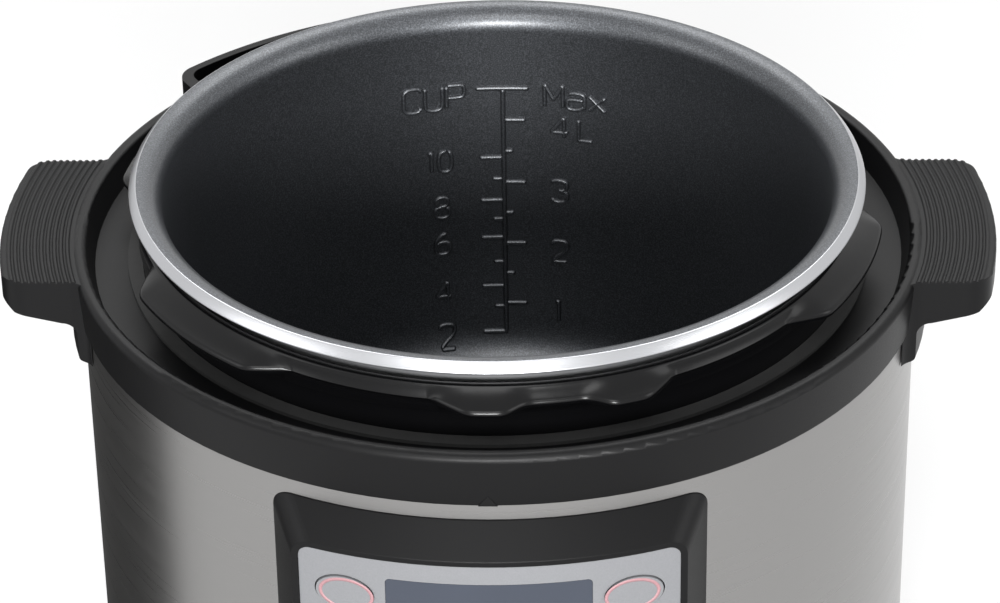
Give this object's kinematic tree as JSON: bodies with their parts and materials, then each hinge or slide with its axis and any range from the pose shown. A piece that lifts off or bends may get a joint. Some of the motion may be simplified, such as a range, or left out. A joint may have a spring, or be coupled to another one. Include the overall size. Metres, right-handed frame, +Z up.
{
  "type": "electric pressure cooker",
  "caption": "Electric pressure cooker standing open: lift-out pot in a steel body with ribbed side handles, locking rim and a curved front panel with a display and oval keys.",
  "frame": {"origin": "on the table, under the axis of the pot", "axes": "+Z up, front panel faces -Y, +X towards the right-hand handle seen from the front"},
  "size_m": [0.331, 0.3012, 0.245],
  "materials": {
    "moulded_black": "moulded black plastic, satin",
    "brushed_stainless": "brushed round the body",
    "nonstick": "dark speckled non-stick on drawn aluminium, bare bevel on the rim",
    "locking_metal": "smooth black enamel",
    "bare_aluminium": "cast and turned",
    "sheet_steel": "pressed, plain",
    "zinc_steel": "zinc plated",
    "spring_steel": "drawn wire",
    "silicone": "moulded silicone",
    "foot_rubber": "moulded rubber",
    "silver_film": "silver printed film, satin",
    "display_glass": "slate-tinted clear plastic",
    "key_film": "light grey with a printed red ring",
    "circuit_board": "green lacquer",
    "inner_plastic": "moulded grey plastic",
    "relay_black": "moulded black plastic",
    "pin_brass": "stamped",
    "wire_sleeve": "silicone sleeve"
  },
  "bodies": {
    "housing": {"top_cover": "moulded_black", "handle_undercover_left": "moulded_black", "handle_undercover_right": "moulded_black", "base_tray": "moulded_black", "panel_bezel": "moulded_black", "inlet_housing": "moulded_black", "cup_bracket": "moulded_black", "steel_shell": "brushed_stainless", "locking_ring": "locking_metal", "heating_plate": "bare_aluminium", "sensor_guide": "bare_aluminium", "outer_vessel": "sheet_steel", "vessel_brackets": "sheet_steel", "heating_element": "sheet_steel", "thermal_fuse": "sheet_steel", "tie_rods": "zinc_steel", "plate_nuts": "zinc_steel", "handle_screws": "zinc_steel", "board_screws": "zinc_steel", "panel_screws": "zinc_steel", "inlet_screws": "zinc_steel", "cup_screws": "zinc_steel", "sensor_spring": "spring_steel", "vessel_seal": "silicone", "rubber_feet": "foot_rubber", "panel_overlay": "silver_film", "display_window": "display_glass", "power_board": "circuit_board", "control_board": "circuit_board", "terminal_block": "inner_plastic", "transformer": "inner_plastic", "display_module": "inner_plastic", "cable_sockets": "inner_plastic", "pressure_switch": "inner_plastic", "relay": "relay_black", "capacitors": "relay_black", "key_switches": "relay_black", "inlet_socket": "relay_black", "inlet_pins": "pin_brass", "inlet_leads": "wire_sleeve", "heater_leads": "wire_sleeve", "panel_cable": "wire_sleeve"},
    "pot": {"inner_pot": "nonstick"},
    "cup": {"condensate_cup": "moulded_black"},
    "sensor": {"sensor_cap": "bare_aluminium"},
    "key_left_1": {"key_left_1": "key_film"},
    "key_left_2": {"key_left_2": "key_film"},
    "key_left_3": {"key_left_3": "key_film"},
    "key_left_4": {"key_left_4": "key_film"},
    "key_right_1": {"key_right_1": "key_film"},
    "key_right_2": {"key_right_2": "key_film"},
    "key_right_3": {"key_right_3": "key_film"},
    "key_right_4": {"key_right_4": "key_film"},
    "start_key": {"start_key": "key_film"}
  },
  "joints": [
    {"name": "pot_lift", "type": "slide", "parent": "housing", "child": "pot", "axis": [0, 0, 1], "range_m": [0, 0.17]},
    {"name": "cup_pull", "type": "slide", "parent": "housing", "child": "cup", "axis": [-0.5446, 0.8387, 0], "range_m": [0, 0.03]},
    {"name": "sensor_press", "type": "slide", "parent": "housing", "child": "sensor", "axis": [0, 0, 1], "range_m": [-0.003, 0], "stiffness_N_per_m": 300, "springref_m": 0.003, "deforming": ["sensor_spring"]},
    {"name": "key_left_1_press", "type": "slide", "parent": "housing", "child": "key_left_1", "axis": [0, 1, 0], "range_m": [0, 0.0008], "stiffness_N_per_m": 500, "springref_m": -0.001},
    {"name": "key_left_2_press", "type": "slide", "parent": "housing", "child": "key_left_2", "axis": [0, 1, 0], "range_m": [0, 0.0008], "stiffness_N_per_m": 500, "springref_m": -0.001},
    {"name": "key_left_3_press", "type": "slide", "parent": "housing", "child": "key_left_3", "axis": [0, 1, 0], "range_m": [0, 0.0008], "stiffness_N_per_m": 500, "springref_m": -0.001},
    {"name": "key_left_4_press", "type": "slide", "parent": "housing", "child": "key_left_4", "axis": [0, 1, 0], "range_m": [0, 0.0008], "stiffness_N_per_m": 500, "springref_m": -0.001},
    {"name": "key_right_1_press", "type": "slide", "parent": "housing", "child": "key_right_1", "axis": [0, 1, 0], "range_m": [0, 0.0008], "stiffness_N_per_m": 500, "springref_m": -0.001},
    {"name": "key_right_2_press", "type": "slide", "parent": "housing", "child": "key_right_2", "axis": [0, 1, 0], "range_m": [0, 0.0008], "stiffness_N_per_m": 500, "springref_m": -0.001},
    {"name": "key_right_3_press", "type": "slide", "parent": "housing", "child": "key_right_3", "axis": [0, 1, 0], "range_m": [0, 0.0008], "stiffness_N_per_m": 500, "springref_m": -0.001},
    {"name": "key_right_4_press", "type": "slide", "parent": "housing", "child": "key_right_4", "axis": [0, 1, 0], "range_m": [0, 0.0008], "stiffness_N_per_m": 500, "springref_m": -0.001},
    {"name": "start_key_press", "type": "slide", "parent": "housing", "child": "start_key", "axis": [0, 1, 0], "range_m": [0, 0.0008], "stiffness_N_per_m": 500, "springref_m": -0.001}
  ]
}
